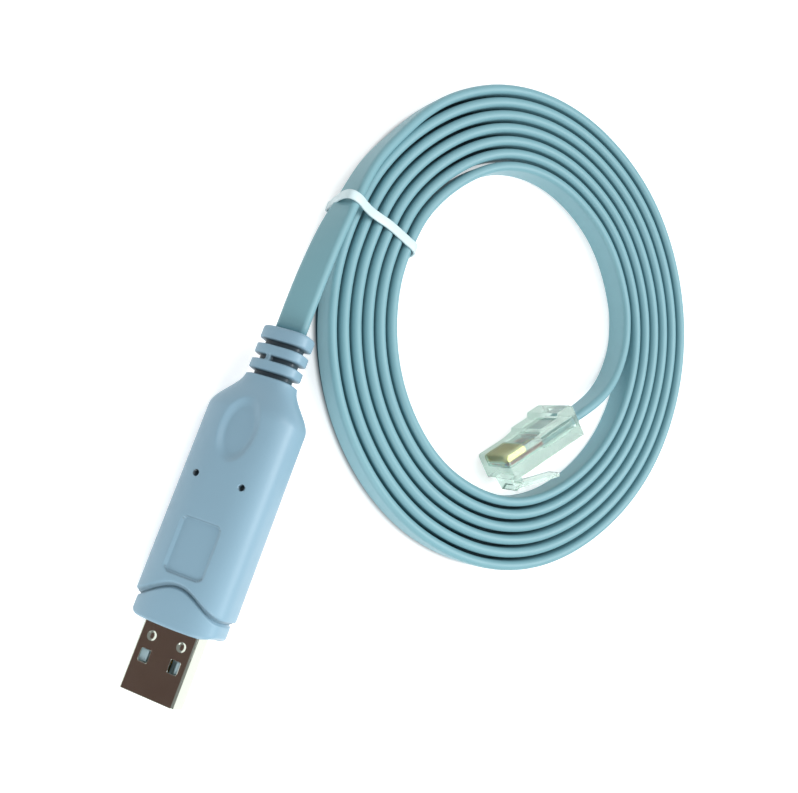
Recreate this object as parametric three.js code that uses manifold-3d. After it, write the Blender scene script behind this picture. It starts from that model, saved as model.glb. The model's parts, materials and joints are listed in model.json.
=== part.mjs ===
// Console cable: a USB-A adapter with a ribbed strain relief, a flat cable coiled on its edge,
// and a clear modular plug. Millimetres, +Z up. +Y runs along the adapter, from plug to cable,
// and the origin is on the floor under the middle of the adapter.
import * as THREE from "three";
import { mergeVertices } from "three/addons/utils/BufferGeometryUtils.js";
import Module from "manifold-3d";

const wasm = await Module();
wasm.setup();

// Driving dimensions

const clearance = 0.3; // between pieces that touch in the real object

const housing = { length: 61, width: 20, thickness: 12.6, power: 3, sides: 36, roll: -46.5 };
const reach = housing.length; // how far a cutter runs past what it cuts
const relief = { length: 10.2, width: 10.6, thickness: 7, collar: 2.3, rib: 2.1, groove: 1.1, depth: 1.3 };
const bridge = { x: -1.2, width: 1.1, fromCable: 6.1 };
const shoulder = { length: 8.5, steps: 6 };
const cap = { apex: 7.8, side: 3.9, inset: 0.7, groove: 1, grooveDepth: 0.55, crown: 0.3, ends: 1.3 };
const thumb = { fromCable: 22, length: 14, width: 8.4, depth: 0.9 };
const light = { fromCable: 31.4, apart: 10, diameter: 1, depth: 1.6 };
const panel = { fromCable: 45.9, length: 10.9, width: 8.4, corner: 1.2, depth: 0.45 };

const shell = { width: 12, thickness: 4.5, length: 13.4, corner: 0.7, wall: 0.3, seat: 3 };
const shellHole = { size: 2.5, apart: 6.6, fromFront: 7 };
const dimple = { diameter: 1.9, fromFront: 10.8, depth: 0.18 };
const tongue = { sideGap: 0.4, thickness: 1.7, setBack: 0.6, lift: 0.25, back: 0.2, block: 0.4 };
const pad = { fromSide: 0.6, leg: 0.5, under: 0.7, length: 2.2, width: { left: 1.8, right: 1.3 } };
const contact = { width: 1, thickness: 0.25, length: 8.2, setBack: 1.4, fromSide: 1.8 };

const cable = { width: 6.8, thickness: 2.15 };
const coil = {
  centre: new THREE.Vector2(52.9, 61.7),
  turned: 22.1, // degrees from +X to the coil's short axis
  short: 50.2, // half axes of the outermost turn's middle line
  long: 55.3,
  pitch: 2.75,
  from: 112, // degrees where the lead joins, then clockwise
  to: 8, // degrees where the tail leaves
  turns: 6, // full turns before the last part turn
  sides: 96,
};
const leadRoute = [
  // x, y, height, roll of the flat face
  [0, 44.5, 9.3, 46.5],
  [0.1, 51.5, 9.1, 49],
  [0.6, 60.5, 8.5, 56],
  [1.5, 69, 7.5, 68],
  [3.1, 79, 6, 79],
  [7.2, 89.8, 4.6, 88],
  [11.8, 97.2, 3.7, 90],
];
const tailRoute = [
  // x, y, height
  [83.2, 71.2, 3.5],
  [83, 63.5, 4.1],
  [81.1, 58, 4.9],
  [78.1, 53.3, 5.6],
];

const modular = {
  length: 21.5,
  width: 11.7,
  rear: new THREE.Vector2(75.2, 44.6), // the latch side's rear edge on the floor plan
  turned: 229.7, // degrees from +X to the way that it points
  faces: { rear: 8, middle: 7, front: 5.9 },
  steps: { rear: 4.6, middle: 10.4, front: 13.6 },
  nose: 0.5,
};
const pocket = { depth: 10, centre: 3.3 };
const wire = { diameter: 0.86, pitch: 1.02, count: 8, end: 20.2 };
const blade = { thickness: 0.35, from: 15.2, to: 20.7, below: 0.4 };
const latch = { width: 6, armWidth: 4.2, thickness: 0.9, drop: 3.4, block: 3.2, back: 13.2, out: 6.4 };

const tie = { width: 2, thickness: 0.5, along: 68 };
const tieRoute = [
  // x, height of the band's middle line, once round
  [-0.2, 0.3],
  [2.5, 0.3],
  [6, 0.3],
  [12, 0.3],
  [18, 0.3],
  [20.9, 0.5],
  [21.7, 1.4],
  [21.75, 4],
  [21.6, 6.4],
  [20.6, 7.4],
  [18, 7.5],
  [12, 7.5],
  [7.6, 7.7],
  [5.6, 8.8],
  [4.4, 10.7],
  [3, 11.7],
  [1.2, 11.6],
  [-0.9, 10.4],
  [-1.9, 8],
  [-1.6, 4],
  [-1.2, 1.2],
];

// Finishes

const jacketBlue = new THREE.MeshStandardMaterial({ color: 0x86bcd0, roughness: 0.42, metalness: 0 });
const housingBlue = new THREE.MeshStandardMaterial({ color: 0x93b7cb, roughness: 0.45, metalness: 0 });
const steel = new THREE.MeshStandardMaterial({ color: 0xb9bcb6, roughness: 0.25, metalness: 1 });
const tongueWhite = new THREE.MeshStandardMaterial({ color: 0x8fa8ac, roughness: 0.5, metalness: 0 });
const gold = new THREE.MeshStandardMaterial({ color: 0xc9a14c, roughness: 0.3, metalness: 1 });
const clearPlastic = new THREE.MeshStandardMaterial({
  color: 0xdcefe8,
  roughness: 0.08,
  metalness: 0,
  transparent: true,
  opacity: 0.35,
});
const tieWhite = new THREE.MeshStandardMaterial({ color: 0xe9eeee, roughness: 0.5, metalness: 0 });
const wireColours = [0x5b2a25, 0x2f4f8f, 0xc9a400, 0x3c7a3c, 0xb22a22, 0x262626, 0xc46a1c, 0xd0d0cc];

// Shapes

const radians = THREE.MathUtils.degToRad;

function roundedRectangle(width, height, corner, arcSteps = 5) {
  const points = [];
  const x = width / 2 - corner;
  const y = height / 2 - corner;
  const quarters = [
    [x, y, 0],
    [-x, y, 90],
    [-x, -y, 180],
    [x, -y, 270],
  ];
  for (const [cx, cy, start] of quarters) {
    for (let i = 0; i <= arcSteps; i += 1) {
      const a = radians(start + (90 * i) / arcSteps);
      points.push(new THREE.Vector2(cx + corner * Math.cos(a), cy + corner * Math.sin(a)));
    }
  }
  return new THREE.Shape(points);
}

// A superellipse: flat-sided in the middle of each face, and round at the corners.
function crownedOutline(width, height, power, sides) {
  const points = [];
  const bend = (value) => Math.sign(value) * Math.abs(value) ** (2 / power);
  for (let i = 0; i < sides; i += 1) {
    const a = (2 * Math.PI * (i + 0.5)) / sides;
    points.push(new THREE.Vector2((width / 2) * bend(Math.cos(a)), (height / 2) * bend(Math.sin(a))));
  }
  return points;
}

function housingSection(inset = 0) {
  const width = housing.width - 2 * inset;
  return crownedOutline(width, housing.thickness - 2 * inset, housing.power, housing.sides);
}

function extruded(shape, depth, curveSegments = 12) {
  return new THREE.ExtrudeGeometry(shape, { depth, bevelEnabled: false, curveSegments });
}

// A bar whose section is carried from frame to frame: { origin, u, v } with an optional size.
function swept(shape, frames) {
  const steps = frames.length - 1;
  const bar = new THREE.ExtrudeGeometry(shape, { depth: steps, steps, bevelEnabled: false });
  const position = bar.getAttribute("position");
  const point = new THREE.Vector3();
  for (let i = 0; i < position.count; i += 1) {
    const frame = frames[Math.round(position.getZ(i))];
    const [sizeU, sizeV] = frame.size ?? [1, 1];
    point.copy(frame.origin);
    point.addScaledVector(frame.u, position.getX(i) * sizeU);
    point.addScaledVector(frame.v, position.getY(i) * sizeV);
    position.setXYZ(i, point.x, point.y, point.z);
  }
  return bar;
}

function solidOf(geometry) {
  const bare = new THREE.BufferGeometry();
  bare.setAttribute("position", geometry.getAttribute("position").clone());
  if (geometry.index) bare.setIndex(geometry.index.clone());
  const merged = mergeVertices(bare, 1e-4);
  const vertProperties = new Float32Array(merged.getAttribute("position").array);
  const triVerts = new Uint32Array(merged.index.array);
  return new wasm.Manifold(new wasm.Mesh({ numProp: 3, vertProperties, triVerts }));
}

function geometryOf(solid) {
  const mesh = solid.getMesh();
  const geometry = new THREE.BufferGeometry();
  geometry.setAttribute("position", new THREE.BufferAttribute(mesh.vertProperties, 3));
  geometry.setIndex(new THREE.BufferAttribute(mesh.triVerts, 1));
  const faceted = geometry.toNonIndexed();
  faceted.computeVertexNormals();
  return faceted;
}

// A box given by its two corners, as a solid.
function boxBetween(low, high) {
  const size = high.map((value, i) => value - low[i]);
  const box = new THREE.BoxGeometry(...size);
  box.translate(...low.map((value, i) => value + size[i] / 2));
  return solidOf(box);
}

// A plan outline in x and y, run through z by the given half height.
function planSolid(points, halfHeight) {
  const shape = new THREE.Shape(points.map(([x, y]) => new THREE.Vector2(x, y)));
  const geometry = extruded(shape, 2 * halfHeight);
  geometry.translate(0, 0, -halfHeight);
  return solidOf(geometry);
}

// A section in x and z, run along y from one place to another.
function barAlongY(shape, from, to) {
  const geometry = extruded(shape, to - from);
  geometry.rotateX(Math.PI / 2);
  geometry.translate(0, to, 0);
  return solidOf(geometry);
}

function uprightCylinder(diameter, low, high, x, y, sides = 24) {
  const cylinder = new THREE.CylinderGeometry(diameter / 2, diameter / 2, high - low, sides);
  cylinder.rotateX(Math.PI / 2);
  cylinder.translate(x, y, (high + low) / 2);
  return solidOf(cylinder);
}

function named(name, geometry, material) {
  const mesh = new THREE.Mesh(geometry, material);
  mesh.name = name;
  return mesh;
}

// Adapter housing, drawn along its own axis: y = 0 at its front face, its length at the cable

const cableEnd = housing.length;

function housingStations() {
  const full = { w: 1, t: 1 };
  const neck = { w: relief.width / housing.width, t: relief.thickness / housing.thickness };
  const inset = (side) => ({
    w: neck.w - (2 * side) / housing.width,
    t: neck.t - (2 * side) / housing.thickness,
  });
  const stations = [{ y: 0, ...full }];
  const bodyEnd = cableEnd - relief.length - shoulder.length;
  for (let i = 0; i <= shoulder.steps; i += 1) {
    const along = i / shoulder.steps;
    const ease = (1 - Math.cos(Math.PI * along)) / 2;
    stations.push({
      y: bodyEnd + shoulder.length * along,
      w: full.w + (neck.w - full.w) * ease,
      t: full.t + (neck.t - full.t) * ease,
    });
  }
  let y = cableEnd - relief.length;
  const edge = 0.25;
  while (y + relief.groove + relief.collar < cableEnd - edge) {
    stations.push({ y: y + edge, ...inset(relief.depth) });
    stations.push({ y: y + relief.groove - edge, ...inset(relief.depth) });
    stations.push({ y: y + relief.groove, ...neck });
    y += relief.groove + relief.rib;
    if (y < cableEnd - relief.collar) stations.push({ y, ...neck });
  }
  stations.push({ y: cableEnd - 0.5, ...neck });
  stations.push({ y: cableEnd, ...inset(0.5) });
  return stations;
}

// The wavy line across the front cap, as half a wave from one side to the other.
function capLine(offset) {
  const points = [];
  const half = housing.width / 2 + 1;
  const count = 16;
  for (let i = 0; i <= count; i += 1) {
    const x = -half + (2 * half * i) / count;
    const rise = (1 + Math.cos((Math.PI * x) / half)) / 2;
    points.push([x, cap.side + (cap.apex - cap.side) * rise + offset]);
  }
  return points;
}

function capCore(inset) {
  return barAlongY(new THREE.Shape(housingSection(inset)), -reach, reach);
}

function housingGeometry() {
  const axes = { u: new THREE.Vector3(-1, 0, 0), v: new THREE.Vector3(0, 0, 1) };
  const frames = housingStations().map(({ y, w, t }) => ({
    origin: new THREE.Vector3(0, y, 0),
    size: [w, t],
    ...axes,
  }));
  let solid = solidOf(swept(new THREE.Shape(housingSection()), frames));

  // a small bridge interrupts the middle groove on the broad face
  const bridgePlace = cableEnd - bridge.fromCable;
  const bridgeTop = relief.thickness / 2 - 0.25;
  const bridgeLow = [bridge.x - bridge.width / 2, bridgePlace - relief.groove, 0];
  const bridgeHigh = [bridge.x + bridge.width / 2, bridgePlace + relief.groove, bridgeTop];
  solid = solid.add(boxBetween(bridgeLow, bridgeHigh));

  // the front cap is a little slimmer, and a groove runs round its edge
  const half = housing.width / 2 + 1;
  const front = planSolid([[-half, -reach], [half, -reach], ...capLine(0).reverse()], reach);
  solid = solid.subtract(front.subtract(capCore(cap.inset)));
  const band = planSolid([...capLine(-cap.groove / 2), ...capLine(cap.groove / 2).reverse()], reach);
  solid = solid.subtract(band.subtract(capCore(cap.inset + cap.grooveDepth)));

  // the front face is slightly crowned
  const crown = [];
  for (let i = 0; i <= 12; i += 1) {
    const x = half - (2 * half * i) / 12;
    const corner = Math.max(0, Math.abs(x) - housing.width / 2 + 3) / 4;
    crown.push([x, cap.crown * (x / half) ** 2 + cap.ends * corner ** 2]);
  }
  solid = solid.subtract(planSolid([[-half, -reach], [half, -reach], ...crown], reach));

  const top = housing.thickness / 2;
  const dish = new THREE.SphereGeometry(1, 32, 16);
  dish.rotateX(Math.PI / 2);
  dish.scale(thumb.width / 2, thumb.length / 2, thumb.depth);
  dish.translate(0, cableEnd - thumb.fromCable, top);
  solid = solid.subtract(solidOf(dish));

  for (const side of [-1, 1]) {
    const x = (side * light.apart) / 2;
    const y = cableEnd - light.fromCable;
    solid = solid.subtract(uprightCylinder(light.diameter, top - light.depth, top + 1, x, y, 16));
  }

  const plate = extruded(roundedRectangle(panel.width, panel.length, panel.corner), 1);
  plate.translate(0, cableEnd - panel.fromCable, top - panel.depth);
  solid = solid.subtract(solidOf(plate));

  // the seat of the plug's shell
  const seat = roundedRectangle(
    shell.width + 2 * clearance,
    shell.thickness + 2 * clearance,
    shell.corner + clearance,
  );
  solid = solid.subtract(barAlongY(seat, -reach, shell.seat + clearance));
  return geometryOf(solid);
}

// USB-A plug, in the same frame: its front is shell.length before the housing's front face

const plugFront = -shell.length;
const inside = {
  width: shell.width - 2 * shell.wall,
  thickness: shell.thickness - 2 * shell.wall,
};

function shellGeometry() {
  const outside = roundedRectangle(shell.width, shell.thickness, shell.corner);
  const bore = roundedRectangle(inside.width, inside.thickness, shell.corner - shell.wall);
  let solid = barAlongY(outside, plugFront, shell.seat);
  solid = solid.subtract(barAlongY(bore, plugFront - 1, shell.seat + 1));
  const half = shell.thickness / 2;
  for (const side of [-1, 1]) {
    const x = (side * shellHole.apart) / 2;
    const y = plugFront + shellHole.fromFront;
    const r = shellHole.size / 2;
    solid = solid.subtract(boxBetween([x - r, y - r, -reach], [x + r, y + r, reach]));
    for (const face of [-1, 1]) {
      const depth = half - dimple.depth;
      const low = face > 0 ? depth : -half - 1;
      const high = face > 0 ? half + 1 : -depth;
      const place = plugFront + dimple.fromFront;
      solid = solid.subtract(uprightCylinder(dimple.diameter, low, high, x, place, 20));
    }
  }
  return geometryOf(solid);
}

const tongueHalf = inside.width / 2 - tongue.sideGap;
const tongueLow = -inside.thickness / 2 + tongue.lift;
const tongueTop = tongueLow + tongue.thickness;
const tongueRoof = inside.thickness / 2 - tongue.lift;
const outerContact = tongueHalf - contact.fromSide;
const innerContact = (outerContact * 2) / 7;
const contactPlaces = [-outerContact, -innerContact, innerContact, outerContact];
const root = tongue.thickness / 3; // how deep the raised parts are rooted in the tongue
const slot = { side: 0.15, end: 0.2, under: 0.2, proud: 0.1 };

// A raised lug behind one window of the shell: a leg at the tongue's side with a flat top.
function windowPad(side) {
  const middle = plugFront + shellHole.fromFront;
  const ends = [middle - pad.length / 2, middle + pad.length / 2];
  const outer = side * (tongueHalf - pad.fromSide);
  const inner = outer - side * (side < 0 ? pad.width.left : pad.width.right);
  const legInner = outer - side * pad.leg;
  const top = [Math.min(outer, inner), Math.max(outer, inner)];
  const leg = [Math.min(outer, legInner), Math.max(outer, legInner)];
  const slab = boxBetween([top[0], ends[0], tongueRoof - pad.under], [top[1], ends[1], tongueRoof]);
  return slab.add(boxBetween([leg[0], ends[0], tongueTop - root], [leg[1], ends[1], tongueRoof]));
}

function tongueGeometry() {
  const front = plugFront + tongue.setBack;
  const end = shell.seat - tongue.back;
  const contactFrom = plugFront + contact.setBack;
  const contactTo = contactFrom + contact.length;
  let solid = boxBetween([-tongueHalf, front, tongueLow], [tongueHalf, end, tongueTop]);
  const block = [-tongueHalf, contactTo + tongue.block, tongueTop - root];
  solid = solid.add(boxBetween(block, [tongueHalf, end, tongueRoof]));
  for (const side of [-1, 1]) solid = solid.add(windowPad(side));
  for (const x of contactPlaces) {
    const half = contact.width / 2 + slot.side;
    const floor = tongueTop + slot.proud - contact.thickness - slot.under;
    const low = [x - half, contactFrom - slot.end, floor];
    const high = [x + half, contactTo + slot.end, tongueRoof - pad.under - slot.side];
    solid = solid.subtract(boxBetween(low, high));
  }
  return geometryOf(solid);
}

function contactGeometry(x) {
  const half = contact.width / 2;
  const from = plugFront + contact.setBack;
  const top = tongueTop + slot.proud;
  const low = [x - half, from, top - contact.thickness];
  return geometryOf(boxBetween(low, [x + half, from + contact.length, top]));
}

// How high the adapter's axis is when it lies on the corner of its housing.
function axisHeight() {
  const a = radians(housing.roll);
  return Math.max(...housingSection().map(({ x, y }) => x * Math.sin(a) - y * Math.cos(a)));
}

function adapter() {
  const group = new THREE.Group();
  group.add(named("adapter_housing", housingGeometry(), housingBlue));
  group.add(named("usb_shell", shellGeometry(), steel));
  group.add(named("usb_tongue", tongueGeometry(), tongueWhite));
  contactPlaces.forEach((x, i) => {
    group.add(named(`usb_contact_${i + 1}`, contactGeometry(x), gold));
  });
  group.rotation.y = radians(housing.roll);
  // a corner of the housing rests on the floor, and the plug and housing are centred on the origin
  group.position.set(0, (shell.length - housing.length) / 2, axisHeight());
  return group;
}

// Flat cable: a lead from the adapter, the coil standing on its edge, and a tail to the plug

const shortAxis = new THREE.Vector2(1, 0).rotateAround(new THREE.Vector2(), radians(coil.turned));
const longAxis = new THREE.Vector2(-shortAxis.y, shortAxis.x);
const lastAngle = coil.from - coil.to + 360 * coil.turns;

// A point of the coil's middle line, moved inwards by side, after so many degrees clockwise.
function coilPoint(angle, side = 0) {
  const inwards = (coil.pitch * angle) / 360 + side;
  const phi = radians(coil.from - angle);
  const point = coil.centre.clone();
  point.addScaledVector(shortAxis, (coil.short - inwards) * Math.cos(phi));
  point.addScaledVector(longAxis, (coil.long - inwards) * Math.sin(phi));
  return point;
}

// One turn of the coil's edge, counterclockwise.
function coilRim(start, side) {
  const points = [];
  for (let i = coil.sides; i >= 0; i -= 1) {
    points.push(coilPoint(start + (360 * i) / coil.sides, side));
  }
  return points;
}

function coilGeometry() {
  const half = cable.thickness / 2;
  const ring = new THREE.Shape(coilRim(0, -half));
  ring.holes.push(new THREE.Path(coilRim(lastAngle - 360, half)));
  let solid = solidOf(extruded(ring, cable.width));
  // the tie runs under the turns in a shallow groove
  const side = tie.width / 2 + clearance;
  const roof = tieRoute[0][1] + tie.thickness / 2 + clearance;
  const slot = boxBetween([-reach, tie.along - side, -1], [coil.centre.x, tie.along + side, roof]);
  solid = solid.subtract(slot);
  return geometryOf(solid);
}

const cableSection = roundedRectangle(cable.width, cable.thickness, cable.thickness / 2 - 0.1, 1);

// Frames along a smooth line through the route, with the section's width at the roll given.
function cableFrames(route, steps) {
  const line = new THREE.CatmullRomCurve3(
    route.map(([x, y, z]) => new THREE.Vector3(x, y, z)),
    false,
    "centripetal",
  );
  const rolls = route.map(([, , , roll]) => roll ?? 90);
  const up = new THREE.Vector3(0, 0, 1);
  const frames = [];
  for (let i = 0; i <= steps; i += 1) {
    const t = i / steps;
    const place = t * (rolls.length - 1);
    const step = Math.min(Math.floor(place), rolls.length - 2);
    const roll = rolls[step] + (rolls[step + 1] - rolls[step]) * (place - step);
    const along = line.getTangent(t);
    const right = new THREE.Vector3().crossVectors(along, up).normalize();
    const wide = right.clone().applyAxisAngle(along, -radians(roll));
    const thin = new THREE.Vector3().crossVectors(along, wide);
    frames.push({ origin: line.getPoint(t), u: wide, v: thin });
  }
  return frames;
}

function onFloor(point) {
  return [point.x, point.y, cable.width / 2];
}

function leadGeometry() {
  const start = (shell.length + housing.length) / 2 + clearance;
  const end = coilPoint(-0.4);
  const route = [[0, start, axisHeight(), -housing.roll], ...leadRoute];
  route.push([...onFloor(end), 90]);
  return swept(cableSection, cableFrames(route, 16));
}

function modularPoint(along, outwards) {
  const a = radians(modular.turned);
  const x = modular.rear.x + along * Math.cos(a) + outwards * Math.sin(a);
  const y = modular.rear.y + along * Math.sin(a) - outwards * Math.cos(a);
  return new THREE.Vector2(x, y);
}

function tailGeometry() {
  const route = [onFloor(coilPoint(lastAngle + 0.6)), ...tailRoute];
  const height = modular.width / 2;
  for (const along of [-1, pocket.depth / 2, pocket.depth]) {
    const point = modularPoint(along, pocket.centre);
    route.push([point.x, point.y, height]);
  }
  return swept(cableSection, cableFrames(route, 14));
}

// Modular plug, drawn from its rear face (y = 0) to its front, latch side at z = 0 and below,
// contact side above, and turned on its side afterwards

function wirePlace(i) {
  return (i - (wire.count - 1) / 2) * wire.pitch;
}

// An outline in y and z, run across the plug by the given width.
function sideSolid(points, width) {
  const shape = new THREE.Shape(points.map(([y, z]) => new THREE.Vector2(y, z)));
  const geometry = extruded(shape, width);
  geometry.rotateX(Math.PI / 2);
  geometry.rotateZ(Math.PI / 2);
  geometry.translate(-width / 2, 0, 0);
  return solidOf(geometry);
}

const wireHeight = pocket.centre;
const wireRoof = wireHeight + wire.diameter / 2 + clearance;
const bladeLow = wireHeight + wire.diameter / 2 + 0.2;

function modularGeometry() {
  const { faces, steps, length, width, nose } = modular;
  const profile = [
    [0, 0],
    [length, 0],
    [length, faces.front - nose],
    [length - nose, faces.front],
    [steps.front, faces.front],
    [steps.middle + 0.4, faces.middle - 0.7],
    [steps.middle, faces.middle],
    [steps.rear + 0.5, faces.middle],
    [steps.rear, faces.rear],
    [0.8, faces.rear],
    [0, faces.rear - 0.8],
  ];
  let solid = sideSolid(profile, width);

  // the latch: a block under the front, then an arm that slants out towards the rear
  const { drop, block, back, out, thickness } = latch;
  const hook = [
    [length - block, 0.5],
    [length - block, -drop + thickness],
    [length - 0.6, -drop],
    [length - 0.2, 0.5],
  ];
  solid = solid.add(sideSolid(hook, latch.width));
  const arm = [
    [length - 1, -drop + 1.2],
    [length - 1, -drop + 0.1],
    [length - back, -out - thickness / 2],
    [length - back - 0.4, -out + thickness / 2],
  ];
  solid = solid.add(sideSolid(arm, latch.armWidth));

  // the cable's pocket behind, and the wires' chamber before it
  const high = cable.thickness / 2 + clearance;
  const wide = cable.width / 2 + clearance;
  const low = [-wide, -1, pocket.centre - high];
  solid = solid.subtract(boxBetween(low, [wide, pocket.depth + clearance, pocket.centre + high]));
  const across = wirePlace(wire.count - 1) + wire.diameter / 2 + clearance;
  const under = wireHeight - wire.diameter / 2 - clearance;
  const chamber = boxBetween([-across, 1, under], [across, wire.end + clearance, wireRoof]);
  solid = solid.subtract(chamber);

  for (let i = 0; i < wire.count; i += 1) {
    const x = wirePlace(i);
    const half = blade.thickness / 2 + 0.15;
    const from = [x - half, blade.from - 0.2, wireRoof - 0.1];
    solid = solid.subtract(boxBetween(from, [x + half, reach, reach]));
  }
  return geometryOf(solid);
}

function bladeGeometry(i) {
  const x = wirePlace(i);
  const half = blade.thickness / 2;
  const top = modular.faces.front - blade.below;
  return geometryOf(boxBetween([x - half, blade.from, bladeLow], [x + half, blade.to, top]));
}

function wireGeometry(i) {
  const from = pocket.depth + clearance;
  const cylinder = new THREE.CylinderGeometry(wire.diameter / 2, wire.diameter / 2, wire.end - from, 10);
  cylinder.translate(wirePlace(i), (wire.end + from) / 2, wireHeight);
  return cylinder;
}

function modularPlug() {
  const group = new THREE.Group();
  group.add(named("modular_plug_body", modularGeometry(), clearPlastic));
  for (let i = 0; i < wire.count; i += 1) {
    const colour = new THREE.MeshStandardMaterial({ color: wireColours[i], roughness: 0.5, metalness: 0 });
    group.add(named(`plug_blade_${i + 1}`, bladeGeometry(i), gold));
    group.add(named(`plug_wire_${i + 1}`, wireGeometry(i), colour));
  }
  const a = radians(modular.turned);
  const along = new THREE.Vector3(Math.cos(a), Math.sin(a), 0);
  const outwards = new THREE.Vector3(Math.sin(a), -Math.cos(a), 0);
  const across = new THREE.Vector3().crossVectors(along, outwards);
  const place = new THREE.Matrix4().makeBasis(across, along, outwards);
  place.setPosition(modular.rear.x, modular.rear.y, modular.width / 2);
  group.applyMatrix4(place);
  return group;
}

// Twist tie: one flat band round the lead and six turns

function tieGeometry() {
  const line = new THREE.CatmullRomCurve3(
    tieRoute.map(([x, z]) => new THREE.Vector3(x, z, 0)),
    true,
    "centripetal",
  );
  const count = 64;
  const edge = (side) => {
    const points = [];
    for (let i = 0; i < count; i += 1) {
      const at = line.getPoint(i / count);
      const tangent = line.getTangent(i / count);
      points.push(new THREE.Vector2(at.x + tangent.y * side, at.y - tangent.x * side));
    }
    return points;
  };
  const band = new THREE.Shape(edge(tie.thickness / 2));
  band.holes.push(new THREE.Path(edge(-tie.thickness / 2)));
  const geometry = extruded(band, tie.width);
  geometry.rotateX(Math.PI / 2);
  geometry.translate(0, tie.along + tie.width / 2, 0);
  return geometry;
}

const consoleCable = new THREE.Group();
consoleCable.add(adapter());
consoleCable.add(named("cable_lead", leadGeometry(), jacketBlue));
consoleCable.add(named("cable_coil", coilGeometry(), jacketBlue));
consoleCable.add(named("cable_tail", tailGeometry(), jacketBlue));
consoleCable.add(modularPlug());
consoleCable.add(named("twist_tie", tieGeometry(), tieWhite));

export default consoleCable;
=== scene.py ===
import json
import math

import bmesh
import bpy
from mathutils import Matrix, Vector

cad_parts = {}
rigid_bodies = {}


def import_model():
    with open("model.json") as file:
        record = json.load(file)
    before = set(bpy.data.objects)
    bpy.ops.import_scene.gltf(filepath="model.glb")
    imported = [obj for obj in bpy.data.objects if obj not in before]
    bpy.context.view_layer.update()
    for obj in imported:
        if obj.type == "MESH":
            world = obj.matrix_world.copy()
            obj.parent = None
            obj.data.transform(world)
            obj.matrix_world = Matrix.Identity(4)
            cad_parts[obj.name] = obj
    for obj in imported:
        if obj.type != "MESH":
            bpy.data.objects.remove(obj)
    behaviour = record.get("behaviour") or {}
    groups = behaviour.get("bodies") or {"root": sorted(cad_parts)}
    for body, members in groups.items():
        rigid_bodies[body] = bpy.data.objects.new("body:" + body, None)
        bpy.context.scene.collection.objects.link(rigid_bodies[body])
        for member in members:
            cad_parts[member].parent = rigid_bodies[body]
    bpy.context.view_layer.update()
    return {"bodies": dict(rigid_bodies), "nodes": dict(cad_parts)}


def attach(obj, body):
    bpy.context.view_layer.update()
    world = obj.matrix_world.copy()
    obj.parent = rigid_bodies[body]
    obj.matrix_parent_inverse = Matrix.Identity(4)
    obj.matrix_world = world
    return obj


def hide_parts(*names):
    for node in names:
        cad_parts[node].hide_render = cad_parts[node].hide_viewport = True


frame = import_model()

mm = 0.001

# camera: it stands at the photo's left and is rolled so that the photo's up runs along the adapter
cameraSetup = {
    "place": (-65.9, -3.1, 195.5),
    "ahead": (0.442, 0.179, -0.879),
    "up": (-0.376, 0.927, 0.0),
    "lens": 45.1,
}


def addCamera():
    data = bpy.data.cameras.new("photoCamera")
    data.lens = cameraSetup["lens"]
    data.sensor_width = 36
    data.clip_start = 0.005
    data.clip_end = 10
    camera = bpy.data.objects.new("photoCamera", data)
    bpy.context.scene.collection.objects.link(camera)
    back = -Vector(cameraSetup["ahead"]).normalized()
    right = Vector(cameraSetup["up"]).cross(back).normalized()
    up = back.cross(right)
    turned = Matrix((right, up, back)).transposed().to_4x4()
    camera.matrix_world = Matrix.Translation(Vector(cameraSetup["place"]) * mm) @ turned
    bpy.context.scene.camera = camera


addCamera()


# shapes
def ease(value):
    value = min(1.0, max(0.0, value))
    return value * value * (3 - 2 * value)


def finished(name, bm, material=None, smooth=True):
    bmesh.ops.recalc_face_normals(bm, faces=bm.faces)
    mesh = bpy.data.meshes.new(name)
    bm.to_mesh(mesh)
    bm.free()
    for polygon in mesh.polygons:
        polygon.use_smooth = smooth
    thing = bpy.data.objects.new(name, mesh)
    bpy.context.scene.collection.objects.link(thing)
    if material:
        mesh.materials.append(material)
    return thing


def roundedOutline(width, height, corner, arcSteps, straightSteps=(1, 1)):
    # counterclockwise from the right side, each point with its outward direction
    points = []
    x, y = width / 2 - corner, height / 2 - corner
    sides = [(x, y, 0, (-1, 0), 2 * x), (-x, y, 90, (0, -1), 2 * y),
             (-x, -y, 180, (1, 0), 2 * x), (x, -y, 270, (0, 1), 2 * y)]
    for side, (cx, cy, start, ahead, span) in enumerate(sides):
        for i in range(arcSteps + 1):
            a = math.radians(start + 90 * i / arcSteps)
            c, s = math.cos(a), math.sin(a)
            points.append((cx + corner * c, cy + corner * s, c, s))
        last = points[-1]
        steps = straightSteps[side % 2]
        for i in range(1, steps):
            along = span * i / steps
            points.append((last[0] + ahead[0] * along, last[1] + ahead[1] * along, *last[2:]))
    return points


def sweep(bm, rings, capped=True):
    # rings are lists of points: the first becomes a loop, and each next one is extruded from it
    ring = bmesh.ops.create_circle(bm, cap_ends=False, segments=len(rings[0]), radius=1)["verts"]
    for vert, point in zip(ring, rings[0]):
        vert.co = point
    edges = [bm.edges.get((ring[i - 1], ring[i])) for i in range(len(ring))]
    firstEdges = list(edges)
    for points in rings[1:]:
        made = bmesh.ops.extrude_edge_only(bm, edges=edges)["geom"]
        fresh = {item for item in made if isinstance(item, bmesh.types.BMVert)}
        following = []
        for old in ring:
            neighbours = (edge.other_vert(old) for edge in old.link_edges)
            following.append(next(vert for vert in neighbours if vert in fresh))
        for vert, point in zip(following, points):
            vert.co = point
        ring = following
        edges = [bm.edges.get((ring[i - 1], ring[i])) for i in range(len(ring))]
    if capped:
        bmesh.ops.contextual_create(bm, geom=firstEdges)
        bmesh.ops.contextual_create(bm, geom=edges)
    return firstEdges, edges


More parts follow.
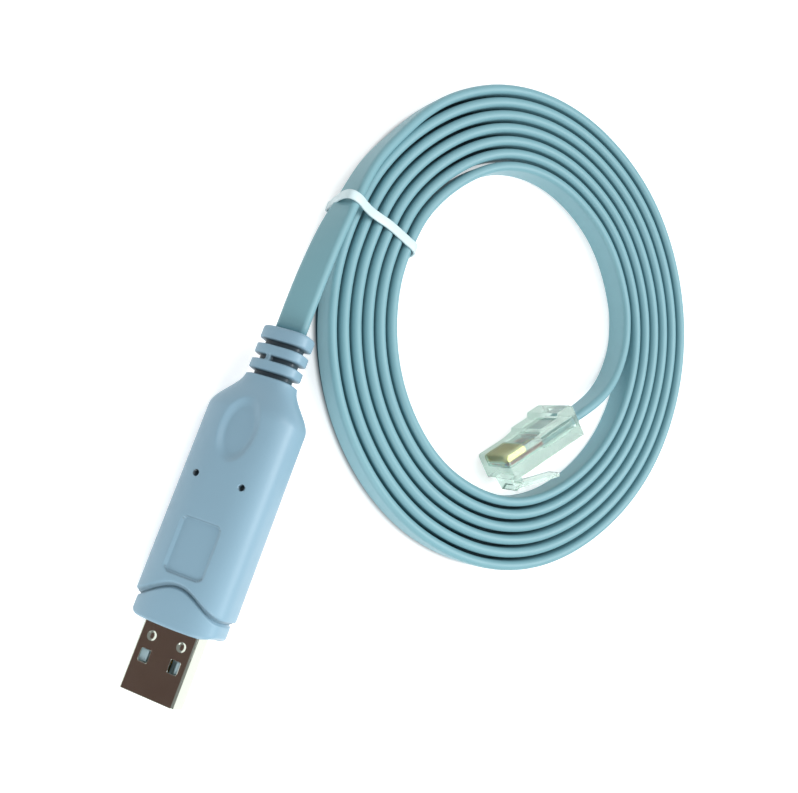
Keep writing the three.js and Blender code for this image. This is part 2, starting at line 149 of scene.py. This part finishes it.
def carve(thing, cutter):
    # cuts the cutter's shape out of the thing for good
    cut = thing.modifiers.new("carve", "BOOLEAN")
    cut.object = cutter
    cut.solver = "EXACT"
    bpy.context.view_layer.update()
    carved = thing.evaluated_get(bpy.context.evaluated_depsgraph_get())
    mesh = bpy.data.meshes.new_from_object(carved)
    thing.modifiers.clear()
    thing.data = mesh
    bpy.data.objects.remove(cutter)


# materials
class Value:
    # a node's output that takes part in sums
    def __init__(self, graph, socket):
        self.graph = graph
        self.socket = socket

    def __add__(self, other):
        return self.graph.maths("ADD", self, other)

    def __radd__(self, other):
        return self.graph.maths("ADD", other, self)

    def __sub__(self, other):
        return self.graph.maths("SUBTRACT", self, other)

    def __rsub__(self, other):
        return self.graph.maths("SUBTRACT", other, self)

    def __mul__(self, other):
        return self.graph.maths("MULTIPLY", self, other)

    def __rmul__(self, other):
        return self.graph.maths("MULTIPLY", other, self)


class Graph:
    def __init__(self, name):
        self.material = bpy.data.materials.new(name)
        self.material.use_nodes = True
        self.tree = self.material.node_tree
        self.shader = self.tree.nodes["Principled BSDF"]
        self.place = self.node("ShaderNodeTexCoord", output="Object")

    def node(self, kind, settings=None, values=None, output=0):
        made = self.tree.nodes.new(kind)
        for key, value in (settings or {}).items():
            setattr(made, key, value)
        for key, value in (values or {}).items():
            self.feed(made.inputs[key], value)
        return Value(self, made.outputs[output])

    def feed(self, socket, value):
        if isinstance(value, Value):
            self.tree.links.new(value.socket, socket)
        else:
            socket.default_value = value

    def maths(self, operation, first, second):
        return self.node("ShaderNodeMath", {"operation": operation}, {0: first, 1: second})

    def vectors(self, operation, first, second, output=0):
        values = {0: first} if second is None else {0: first, 1: second}
        return self.node("ShaderNodeVectorMath", {"operation": operation}, values, output)

    def noise(self, scale, detail=3.0, roughness=0.5):
        values = {"Vector": self.place, "Scale": scale, "Detail": detail, "Roughness": roughness}
        return self.node("ShaderNodeTexNoise", None, values, "Fac")

    def attribute(self, name):
        return self.node("ShaderNodeAttribute", {"attribute_name": name}, None, "Fac")

    def mix(self, amount, first, second):
        # sockets 6 and 7 are the colours, and output 2 is their mix
        return self.node("ShaderNodeMix", {"data_type": "RGBA"}, {0: amount, 6: first, 7: second}, 2)

    def bump(self, height, strength, distance):
        values = {"Height": height, "Strength": strength, "Distance": distance}
        return self.node("ShaderNodeBump", None, values, "Normal")

    def surface(self, **values):
        for key, value in values.items():
            self.feed(self.shader.inputs[key.replace("_", " ")], value)
        return self.material


def tinted(colour, factor):
    return (colour[0] * factor, colour[1] * factor, colour[2] * factor, 1)


jacketLook = {"colour": (0.175, 0.355, 0.405), "roughness": 0.46, "grain": 0.08}
housingLook = {"colour": (0.215, 0.355, 0.45), "roughness": 0.42, "grain": 0.18}


def mouldedPlastic(name, look, grainScale, withPaintedCreaseShade=False):
    g = Graph(name)
    patches = g.noise(60, 2)
    grain = g.noise(grainScale, 4, 0.6)
    colour = g.mix(patches, tinted(look["colour"], 0.96), tinted(look["colour"], 1.04))
    # painted shade: the colour is darkened in grooves, panel edges and light holes, by an amount baked on
    # each point
    if withPaintedCreaseShade:
        colour = g.mix(0.9 * g.attribute("paintedCreaseShade"), colour, tinted(look["colour"], 0.1))
    rough = look["roughness"] - 0.05 + 0.1 * g.noise(180, 3)
    return g.surface(Base_Color=colour, Roughness=rough, Normal=g.bump(grain, look["grain"], 0.0001),
                     IOR=1.46)


def plainPlastic(name, colour, roughness):
    g = Graph(name)
    shade = g.mix(g.noise(300, 2), tinted(colour, 0.92), tinted(colour, 1.05))
    return g.surface(Base_Color=shade, Roughness=roughness - 0.04 + 0.08 * g.noise(500))


def plated(name, colour, roughness, scale):
    g = Graph(name)
    streaks = g.noise(scale, 3)
    shade = g.mix(streaks, tinted(colour, 0.93), tinted(colour, 1.05))
    return g.surface(Base_Color=shade, Metallic=1.0, Roughness=roughness - 0.04 + 0.08 * streaks,
                     Normal=g.bump(streaks, 0.05, 0.0001))


def clearMoulding(name):
    g = Graph(name)
    tint = g.mix(g.noise(80), (0.60, 0.75, 0.69, 1), (0.66, 0.80, 0.75, 1))
    return g.surface(Base_Color=tint, Roughness=0.05 + 0.08 * g.noise(200),
                     Transmission_Weight=0.9, IOR=1.2, Normal=g.bump(g.noise(250), 0.03, 0.0002))


jacketBlue = mouldedPlastic("jacketBlue", jacketLook, 2500)
# the housing gets painted shade in its grooves, panel edges and light holes
housingBlue = mouldedPlastic("housingBlue", housingLook, 1800, withPaintedCreaseShade=True)
shellSteel = plated("shellSteel", (0.52, 0.56, 0.49), 0.14, 120)
contactGold = plated("contactGold", (0.80, 0.55, 0.20), 0.25, 400)
tonguePlastic = plainPlastic("tonguePlastic", (0.30, 0.42, 0.46), 0.45)
tieWhite = plainPlastic("tieWhite", (0.56, 0.70, 0.73), 0.42)
clearPlastic = clearMoulding("clearPlastic")
wireLooks = [("wireBrown", (0.33, 0.035, 0.03)), ("wireBlue", (0.03, 0.08, 0.27)),
             ("wireYellow", (0.58, 0.37, 0.02)), ("wireGreen", (0.05, 0.19, 0.05)),
             ("wireRed", (0.44, 0.02, 0.02)), ("wireBlack", (0.02, 0.02, 0.02)),
             ("wireOrange", (0.55, 0.14, 0.01)), ("wireGrey", (0.55, 0.55, 0.52))]
print("finishes made")

# flat cable: lead, coil on its edge, tail
cable = {"width": 6.8, "thickness": 2.2, "edge": 1.05, "arcSteps": 6, "step": 1.3}
coil = {
    "centre": Vector((52.9, 61.7)), "turned": 22.1, "short": 50.2, "long": 55.3,
    "pitch": 2.93, "start": 112, "end": 8, "turns": 6, "points": 288,
    # how far the turns stand out of a true oval, every 30 degrees round it
    "slack": (0.65, 0.45, 0, 0, -0.55, 0, 0, 0, 0.35, 0.75, 0.25, 0.5),
    # the band squeezes the outer turns inwards near it
    "squeeze": 0.9, "squeezeAt": 150, "squeezeSpread": 35,
}
leadRoute = [  # x, y, height, roll of the flat face
    (0, 37.5, 9.34, 46.5), (0, 44.5, 9.3, 46.5), (0.2, 51.5, 9.1, 49), (0.9, 60.5, 8.5, 57),
    (2.3, 69, 7.5, 72), (4.5, 79, 6, 82), (8.9, 89.1, 4.6, 88), (12.8, 96.3, 3.7, 90),
]
tailRoute = [(83.2, 71.2, 3.5), (83, 63.5, 4.1), (81.1, 58, 4.9), (78.1, 53.3, 5.6)]
modular = {
    "rear": Vector((75.2, 44.6)), "turned": 229.7, "width": 11.7, "pocketCentre": 3.3, "pocketDepth": 10,
}
tieUnder = {"along": 68, "lift": 0.55, "spread": 5.0}


def coilPoint(angle):
    turned = (coil["start"] - angle) % 360 / 30
    near, far = coil["slack"][int(turned) % 12], coil["slack"][(int(turned) + 1) % 12]
    inwards = coil["pitch"] * angle / 360 - near - (far - near) * ease(turned % 1)
    outer = max(0.0, 1 - angle / (360 * coil["turns"]))
    fromBand = ((coil["start"] - angle - coil["squeezeAt"] + 180) % 360 - 180) / coil["squeezeSpread"]
    inwards += coil["squeeze"] * outer * math.exp(-fromBand ** 2)
    phi = math.radians(coil["start"] - angle)
    a = math.radians(coil["turned"])
    shortAxis = Vector((math.cos(a), math.sin(a)))
    longAxis = Vector((-math.sin(a), math.cos(a)))
    point = coil["centre"] + shortAxis * (coil["short"] - inwards) * math.cos(phi)
    return point + longAxis * (coil["long"] - inwards) * math.sin(phi)


def modularPoint(along, outwards):
    a = math.radians(modular["turned"])
    ahead = Vector((math.cos(a), math.sin(a)))
    out = Vector((math.sin(a), -math.cos(a)))
    return modular["rear"] + ahead * along + out * outwards


def cableRoute():
    half = cable["width"] / 2
    route = [list(point) for point in leadRoute]
    last = coil["start"] - coil["end"] + 360 * coil["turns"]
    for i in range(coil["points"] + 1):
        angle = last * i / coil["points"]
        point = coilPoint(angle)
        reach = math.exp(-((point.y - tieUnder["along"]) / tieUnder["spread"]) ** 2)
        lift = tieUnder["lift"] * reach if point.x < coil["centre"].x else 0
        route.append([point.x, point.y, half + lift, 90])
    for x, y, z in tailRoute:
        route.append([x, y, z, 90])
    for along in (-1, modular["pocketDepth"] / 2, modular["pocketDepth"]):
        point = modularPoint(along, modular["pocketCentre"])
        route.append([point.x, point.y, modular["width"] / 2, 90])
    return route


def smoothRoute(route, step):
    # points a step apart along a centripetal spline through the route, each with its roll
    fine = []
    points = [Vector(p) for p in route]
    points = [points[0] * 2 - points[1]] + points + [points[-1] * 2 - points[-2]]
    for i in range(1, len(points) - 2):
        p0, p1, p2, p3 = points[i - 1:i + 3]
        span = (p2.to_3d() - p1.to_3d()).length
        t = [0.0]
        for a, b in ((p0, p1), (p1, p2), (p2, p3)):
            t.append(t[-1] + max((b.to_3d() - a.to_3d()).length, 1e-4) ** 0.5)
        count = max(2, int(span / 0.4))
        for k in range(count):
            u = t[1] + (t[2] - t[1]) * k / count
            a1 = p0.lerp(p1, u / t[1])
            a2 = p1.lerp(p2, (u - t[1]) / (t[2] - t[1]))
            a3 = p2.lerp(p3, (u - t[2]) / (t[3] - t[2]))
            b1 = a1.lerp(a2, u / t[2])
            b2 = a2.lerp(a3, (u - t[1]) / (t[3] - t[1]))
            fine.append(b1.lerp(b2, (u - t[1]) / (t[2] - t[1])))
    fine.append(points[-2])
    spaced = [fine[0]]
    since = 0.0
    for a, b in zip(fine, fine[1:]):
        since += (b.to_3d() - a.to_3d()).length
        if since >= step:
            spaced.append(b)
            since = 0.0
    if since > step / 3:
        spaced.append(fine[-1])
    else:
        spaced[-1] = fine[-1]
    return spaced


def makeCable():
    line = smoothRoute(cableRoute(), cable["step"])
    size = (cable["width"], cable["thickness"], cable["edge"])
    outline = roundedOutline(*size, cable["arcSteps"], (2, 1))
    rings, centres = [], []
    for i, here in enumerate(line):
        before, after = line[max(i - 1, 0)].to_3d(), line[min(i + 1, len(line) - 1)].to_3d()
        along = (after - before).normalized()
        right = along.cross(Vector((0, 0, 1))).normalized()
        wide = Matrix.Rotation(-math.radians(here[3]), 3, along) @ right
        thin = along.cross(wide)
        centre = here.to_3d()
        rings.append([(centre + wide * p[0] + thin * p[1]) * mm for p in outline])
        centres.append(centre * mm)
    bm = bmesh.new()
    sweep(bm, rings)
    return finished("flatCable", bm, jacketBlue), centres


flatCable, cableCentres = makeCable()
cableLength = sum((b - a).length for a, b in zip(cableCentres, cableCentres[1:]))
body = next(iter(frame["bodies"]))
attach(flatCable, body)
print("cable made, length", round(cableLength, 3))

# adapter
shell = {
    "width": 12.0, "thickness": 4.5, "length": 13.4, "corner": 0.42, "wall": 0.3, "seat": 3.0,
    "steps": 120, "frontEdge": ((0.0, 0.12), (0.04, 0.05), (0.12, 0.0)),
}
housing = {
    "length": 61.0, "width": 20.0, "thickness": 12.6, "power": 3.0, "sides": 240, "roll": -46.5,
    "reliefLength": 10.2, "reliefWidth": 10.6, "reliefThickness": 7.0, "shoulder": 8.5,
    "grooves": (57.75, 54.55, 51.35), "grooveWidth": 1.1, "grooveDepth": 1.4, "step": 0.2,
    "ends": 0.6, "frontEdge": ((0.0, 0.6), (0.06, 0.35), (0.2, 0.14), (0.4, 0.03), (0.6, 0.0)),
    "rearEdge": ((0.3, 0.08), (0.1, 0.24), (0.0, 0.5)),
}
bridge = {"x": -1.2, "width": 1.1, "below": 0.3}
frontCap = {
    "apex": 7.8, "side": 3.9, "inset": 0.7, "groove": 1.0, "grooveDepth": 0.55, "crown": 0.3, "ends": 1.3,
}
thumb = {"fromCable": 22.0, "length": 14.0, "width": 8.4, "depth": 0.9}
lights = {"fromCable": 32.4, "apart": 10.0, "diameter": 1.3, "depth": 1.6}
panel = {"fromCable": 45.9, "length": 10.9, "width": 8.4, "corner": 1.2, "depth": 0.55}


def housingOutline():
    # a superellipse, counterclockwise, each point with its outward direction; denser on the faces
    h = housing
    points = []
    for i in range(h["sides"]):
        a = 2 * math.pi * (i + 0.5) / h["sides"]
        a -= 0.17 * math.sin(4 * a)
        c, s = math.cos(a), math.sin(a)
        x = h["width"] / 2 * math.copysign(abs(c) ** (2 / h["power"]), c)
        z = h["thickness"] / 2 * math.copysign(abs(s) ** (2 / h["power"]), s)
        nx = math.copysign(abs(2 * x / h["width"]) ** (h["power"] - 1), x) / h["width"]
        nz = math.copysign(abs(2 * z / h["thickness"]) ** (h["power"] - 1), z) / h["thickness"]
        size = math.hypot(nx, nz)
        points.append((x, z, nx / size, nz / size))
    return points


def adapterPlace():
    a = math.radians(housing["roll"])
    height = max(x * math.sin(a) - z * math.cos(a) for x, z, _, _ in housingOutline())
    middle = (shell["length"] - housing["length"]) / 2
    turned = Matrix.Rotation(a, 4, "Y")
    return Matrix.Translation(Vector((0, middle, height)) * mm) @ turned


def channel(distance, width, edge=0.28):
    # 1 inside a groove of this width, falling to 0 at its edges
    return ease((width / 2 - abs(distance)) / edge + 0.5)


def waveLine(x):
    half = housing["width"] / 2 + 1
    rise = (1 + math.cos(math.pi * min(abs(x), half) / half)) / 2
    return frontCap["side"] + (frontCap["apex"] - frontCap["side"]) * rise


def bellow(y, x, broad):
    # depth of the strain relief's grooves; a small bridge fills part of the middle one on the broad face
    depth = 0.0
    for i, place in enumerate(housing["grooves"]):
        deepest = housing["grooveDepth"]
        if i == 1 and broad:
            deepest -= (deepest - bridge["below"]) * channel(x - bridge["x"], bridge["width"])
        depth = max(depth, deepest * channel(y - place, housing["grooveWidth"]))
    return depth


def panelDepth(y, x):
    cornerX = abs(x) - panel["width"] / 2 + panel["corner"]
    cornerY = abs(y - (housing["length"] - panel["fromCable"])) - panel["length"] / 2 + panel["corner"]
    away = math.hypot(max(cornerX, 0), max(cornerY, 0)) + min(max(cornerX, cornerY), 0) - panel["corner"]
    return panel["depth"] * ease(-away / 0.3 + 0.4)


def thumbDepth(y, x):
    u = x / (thumb["width"] / 2)
    v = (y - (housing["length"] - thumb["fromCable"])) / (thumb["length"] / 2)
    r = u * u + v * v
    return thumb["depth"] * ease(1.6 * (1 - r)) if r < 1 else 0.0


def housingPoint(y, x, z, nx, nz):
    h = housing
    bodyEnd = h["length"] - h["reliefLength"] - h["shoulder"]
    slim = ease((y - bodyEnd) / h["shoulder"])
    wide = 1 + (h["reliefWidth"] / h["width"] - 1) * slim
    high = 1 + (h["reliefThickness"] / h["thickness"] - 1) * slim
    px, pz = x * wide, z * high
    depth = bellow(y, px, nz > 0.5)
    wave = waveLine(x)
    depth += frontCap["inset"] * ease((wave - y) / 0.4 + 0.5)
    depth += frontCap["grooveDepth"] * channel(y - wave, frontCap["groove"])
    if nz > 0.3:
        depth += thumbDepth(y, px) + panelDepth(y, px)
    return px - nx * depth, pz - nz * depth


def drillLights(thing, place):
    # both light holes go straight into the broad face
    bm = bmesh.new()
    y = housing["length"] - lights["fromCable"]
    radius = lights["diameter"] / 2 * mm
    for side in (-1, 1):
        x = side * lights["apart"] / 2
        spot = place @ Matrix.Translation(Vector((x, y, housing["thickness"] / 2)) * mm)
        bmesh.ops.create_cone(bm, cap_ends=True, segments=32, radius1=radius, radius2=radius,
                              depth=2 * lights["depth"] * mm, matrix=spot)
    carve(thing, finished("lightDrill", bm))


def paintCreaseShade(thing, place):
    # how deep each point sits in a groove, a panel edge or a light hole, for the painted shade that
    # darkens the colour there
    back = place.inverted()
    paintedCreaseShade = thing.data.attributes.new("paintedCreaseShade", "FLOAT", "POINT")
    for vert, item in zip(thing.data.vertices, paintedCreaseShade.data):
        x, y, z = (back @ vert.co) / mm
        amount = 1.2 * bellow(y, x, z > 0) / housing["grooveDepth"]
        amount = max(amount, 0.45 * channel(y - waveLine(x), frontCap["groove"] * 0.8))
        if z > 0:
            edge = panelDepth(y, x) / panel["depth"]
            amount = max(amount, 2.2 * edge * (1 - edge))
            fromHole = (abs(x) - lights["apart"] / 2, y - housing["length"] + lights["fromCable"])
            inHole = math.hypot(*fromHole) < lights["diameter"] * 0.52
            if inHole and z < housing["thickness"] / 2 - 0.25:
                amount = 1.0
        item.value = min(1.0, amount)


def makeHousing():
    outline = housingOutline()
    place = adapterPlace()
    # each station is a place along the housing and how far its rounded end steps in there
    length, ends = housing["length"], housing["ends"]
    stations = list(housing["frontEdge"])
    count = int((length - 2 * ends) / housing["step"])
    stations += [(ends + (length - 2 * ends) * i / count, 0.0) for i in range(1, count + 1)]
    stations += [(length - back, edge) for back, edge in housing["rearEdge"]]
    rings = []
    for y, edge in stations:
        ring = []
        for x, z, nx, nz in outline:
            px, pz = housingPoint(y, x, z, nx, nz)
            corner = max(0.0, abs(x) - housing["width"] / 2 + 3) / 4
            crown = frontCap["crown"] * (x / 11) ** 2 + frontCap["ends"] * corner ** 2
            crown *= ease(1 - y / 4)
            ring.append(place @ (Vector((px - nx * edge, y + crown, pz - nz * edge)) * mm))
        rings.append(ring)
    bm = bmesh.new()
    sweep(bm, rings)
    thing = finished("adapterHousing", bm, housingBlue)
    drillLights(thing, place)
    paintCreaseShade(thing, place)
    return thing


adapterHousing = makeHousing()
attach(adapterHousing, body)
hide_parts("adapter_housing")
print("housing made")


# shell: a folded steel sleeve with two windows on each broad face
windows = {"width": 2.1, "length": 2.5, "apart": 6.6, "fromFront": 7.0, "corner": 0.25}
dimples = {"diameter": 1.8, "fromFront": 10.8, "depth": 0.22}


def shellDepth(y, x):
    away = math.hypot(abs(x) - windows["apart"] / 2, y + shell["length"] - dimples["fromFront"])
    reach = away / (dimples["diameter"] / 2)
    return dimples["depth"] * math.sqrt(max(0.0, 1 - reach * reach))


def addWindows(thing, place):
    bm = bmesh.new()
    for side in (-1, 1):
        spot = Vector((side * windows["apart"] / 2, windows["fromFront"] - shell["length"], 0)) * mm
        size = Vector((windows["width"], windows["length"], 3 * shell["thickness"])) * mm
        matrix = place @ Matrix.LocRotScale(spot, None, size)
        bmesh.ops.create_cube(bm, size=1, matrix=matrix)
    upright = [e for e in bm.edges if e.calc_length() > 2 * shell["thickness"] * mm]
    bmesh.ops.bevel(bm, geom=upright, offset=windows["corner"] * mm, segments=3, profile=0.5,
                    affect="EDGES", material=-1)
    carve(thing, finished("windowPunch", bm))


def makeShell():
    place = adapterPlace()
    s = shell
    outer = roundedOutline(s["width"], s["thickness"], s["corner"], 5, (90, 8))
    # from the lip to the seat outside, and back again inside
    stations = [(lip - s["length"], edge) for lip, edge in s["frontEdge"]]
    start, steps = stations[-1][0], s["steps"]
    stations += [(start + (s["seat"] - start) * i / steps, 0.0) for i in range(1, steps + 1)]
    inner = [(y, s["wall"] - edge) for y, edge in reversed(stations)]
    rings = []
    for y, inwards in stations + inner:
        ring = []
        for x, z, nx, nz in outer:
            depth = inwards
            if abs(nz) > 0.9:
                depth += shellDepth(y, x)
            ring.append(place @ (Vector((x - nx * depth, y, z - nz * depth)) * mm))
        rings.append(ring)
    bm = bmesh.new()
    first, last = sweep(bm, rings, capped=False)
    bmesh.ops.bridge_loops(bm, edges=first + last)
    thing = finished("usbShell", bm, shellSteel)
    addWindows(thing, place)
    return thing


usbShell = makeShell()
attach(usbShell, body)
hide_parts("usb_shell")
print("shell made")


# tie: a flat band round the lead and the coil's left side, leaning a little with the bundle
tie = {
    "width": 2.0, "thickness": 0.5, "edge": 0.2, "steps": 220,
    "route": [
        (1.2, 67.6, 0.3), (0.6, 67.8, 2.2), (0.3, 68.1, 5.0), (0.1, 68.4, 8.2), (0.5, 68.6, 10.6),
        (1.7, 68.7, 11.3), (3.4, 68.6, 11.0), (5.3, 68.4, 9.9), (7.4, 68.3, 8.8), (9.8, 68.3, 8.0),
        (12.6, 68.2, 7.6), (15.6, 67.6, 7.5), (18.0, 67.0, 7.5), (20.2, 66.5, 7.3), (21.0, 66.1, 6.3),
        (21.1, 65.8, 4.0), (20.9, 65.6, 1.4), (20.0, 65.6, 0.4), (17.5, 65.7, 0.3), (12, 66.4, 0.3),
        (6, 67.1, 0.3),
    ],
}


def closedLine(route, count):
    # points round a closed spline
    points = []
    total = len(route)
    for i in range(count):
        at = total * i / count
        k = int(at)
        a, b, c, d = (Vector(route[(k + j) % total]) for j in (-1, 0, 1, 2))
        t = at - k
        point = 2 * b + (c - a) * t + (2 * a - 5 * b + 4 * c - d) * t ** 2
        points.append((point + (3 * b - a - 3 * c + d) * t ** 3) / 2)
    return points


def makeTie():
    line = closedLine(tie["route"], tie["steps"])
    outline = roundedOutline(tie["width"], tie["thickness"], tie["edge"], 3)
    rings = []
    for i, centre in enumerate(line):
        along = (line[(i + 1) % len(line)] - line[i - 1]).normalized()
        wide = (Vector((0, 1, 0)) - along * along.y).normalized()
        thin = along.cross(wide)
        rings.append([(centre + wide * p[0] + thin * p[1]) * mm for p in outline])
    bm = bmesh.new()
    first, last = sweep(bm, rings, capped=False)
    bmesh.ops.bridge_loops(bm, edges=first + last)
    return finished("twistTie", bm, tieWhite)


twistTie = makeTie()
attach(twistTie, body)
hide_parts("twist_tie")
print("tie made")


def dress(node, material, bevel=0.0):
    thing = frame["nodes"][node]
    thing.data.materials.clear()
    thing.data.materials.append(material)
    if bevel:
        rounding = thing.modifiers.new("edges", "BEVEL")
        rounding.width = bevel * mm
        rounding.segments = 2
        rounding.limit_method = "ANGLE"
        rounding.angle_limit = math.radians(35)
    return thing


dress("usb_tongue", tonguePlastic, 0.05)
for i in range(1, 5):
    dress(f"usb_contact_{i}", contactGold, 0.03)
dress("modular_plug_body", clearPlastic, 0.12)
for i, (name, colour) in enumerate(wireLooks):
    dress(f"plug_blade_{i + 1}", contactGold, 0.03)
    dress(f"plug_wire_{i + 1}", plainPlastic(name, colour, 0.4))

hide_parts("cable_lead", "cable_coil", "cable_tail")
onCable = ["modular_plug_body"] + [f"plug_blade_{i}" for i in range(1, 9)]
onCable += [f"plug_wire_{i}" for i in range(1, 9)]

# studio: a pale floor that stays white, soft lamps, and a brown card far off for the steel to mirror
studio = {
    "world": 0.38, "floor": 0.8, "glow": 0.5,
    # painted shade on the floor under the coil
    "paintedShadeUnderCoil": {"middle": 1.02, "until": 0.15, "clearFrom": 0.18, "colour": (0.03, 0.09, 0.12)},
    "key": {"place": (0.42, 0.12, 0.5), "size": 0.4, "power": 3.2},
    "front": {"place": (-0.03, -0.15, 0.13), "size": 0.1, "power": 0.24},
    "top": {"place": (0.05, 0.35, 0.7), "size": 0.5, "power": 2.2},
    "card": {"place": (-1.2, -0.19, 0.34), "height": 0.6, "length": 0.8, "colour": (0.2, 0.115, 0.1)},
}


def addFloor():
    bm = bmesh.new()
    bmesh.ops.create_grid(bm, x_segments=1, y_segments=1, size=3)
    bmesh.ops.translate(bm, verts=bm.verts, vec=(0, 0, -0.00005))
    g = Graph("paleFloor")
    pale = studio["floor"]
    shade = g.mix(g.noise(5), tinted((1, 1, 1), 0.98 * pale), tinted((1, 1, 1), pale))
    # painted shade: the floor's colour goes dark and its glow goes off under the coil, where no light
    # would reach
    dark = studio["paintedShadeUnderCoil"]
    middle = coil["pitch"] * coil["turns"] / 2
    shrink = (1 / ((coil["short"] - middle) * mm), 1 / ((coil["long"] - middle) * mm), 0)
    centred = g.vectors("SUBTRACT", g.place, (*(coil["centre"] * mm), 0))
    spun = g.node("ShaderNodeVectorRotate", {"rotation_type": "Z_AXIS"},
                  {"Vector": centred, "Angle": -math.radians(coil["turned"])})
    size = g.vectors("LENGTH", g.vectors("MULTIPLY", spun, shrink), None, "Value")
    away = g.maths("ABSOLUTE", size - dark["middle"], 0)
    fade = {"Value": away, "From Min": dark["until"], "From Max": dark["clearFrom"]}
    clear = g.node("ShaderNodeMapRange", None, fade, "Result")
    glow = g.mix(clear, (0, 0, 0, 1), (1, 1, 1, 1))
    shade = g.mix(clear, (*dark["colour"], 1), shade)
    finished("floor", bm, g.surface(Base_Color=shade, Roughness=0.8, Emission_Color=glow,
                                             Emission_Strength=studio["glow"]), False)


def addCard():
    card = studio["card"]
    bm = bmesh.new()
    bmesh.ops.create_grid(bm, x_segments=1, y_segments=1, size=0.5)
    bmesh.ops.scale(bm, verts=bm.verts, vec=(card["height"], card["length"], 1))
    upright = Matrix.Translation(card["place"]) @ Matrix.Rotation(math.radians(90), 4, "Y")
    bmesh.ops.transform(bm, verts=bm.verts, matrix=upright)
    g = Graph("darkCard")
    shade = g.mix(g.noise(6), tinted(card["colour"], 0.9), tinted(card["colour"], 1.1))
    finished("darkCard", bm, g.surface(Base_Color=shade, Roughness=0.9), False)


def addLight(name):
    look = studio[name]
    data = bpy.data.lights.new(name + "Lamp", "AREA")
    data.shape = "DISK"
    data.size = look["size"]
    data.energy = look["power"]
    lamp = bpy.data.objects.new(name + "Lamp", data)
    bpy.context.scene.collection.objects.link(lamp)
    back = (Vector(look["place"]) - Vector((0.04, 0.04, 0))).normalized()
    turned = back.to_track_quat("Z", "Y").to_matrix().to_4x4()
    lamp.matrix_world = Matrix.Translation(look["place"]) @ turned


def addWorld():
    world = bpy.data.worlds.new("studio")
    world.use_nodes = True
    world.node_tree.nodes["Background"].inputs["Color"].default_value = (1, 1, 1, 1)
    world.node_tree.nodes["Background"].inputs["Strength"].default_value = studio["world"]
    bpy.context.scene.world = world


addFloor()
addCard()
addWorld()
for lampName in ("key", "front", "top"):
    addLight(lampName)
bpy.context.scene.view_settings.view_transform = "Standard"
print("studio made")
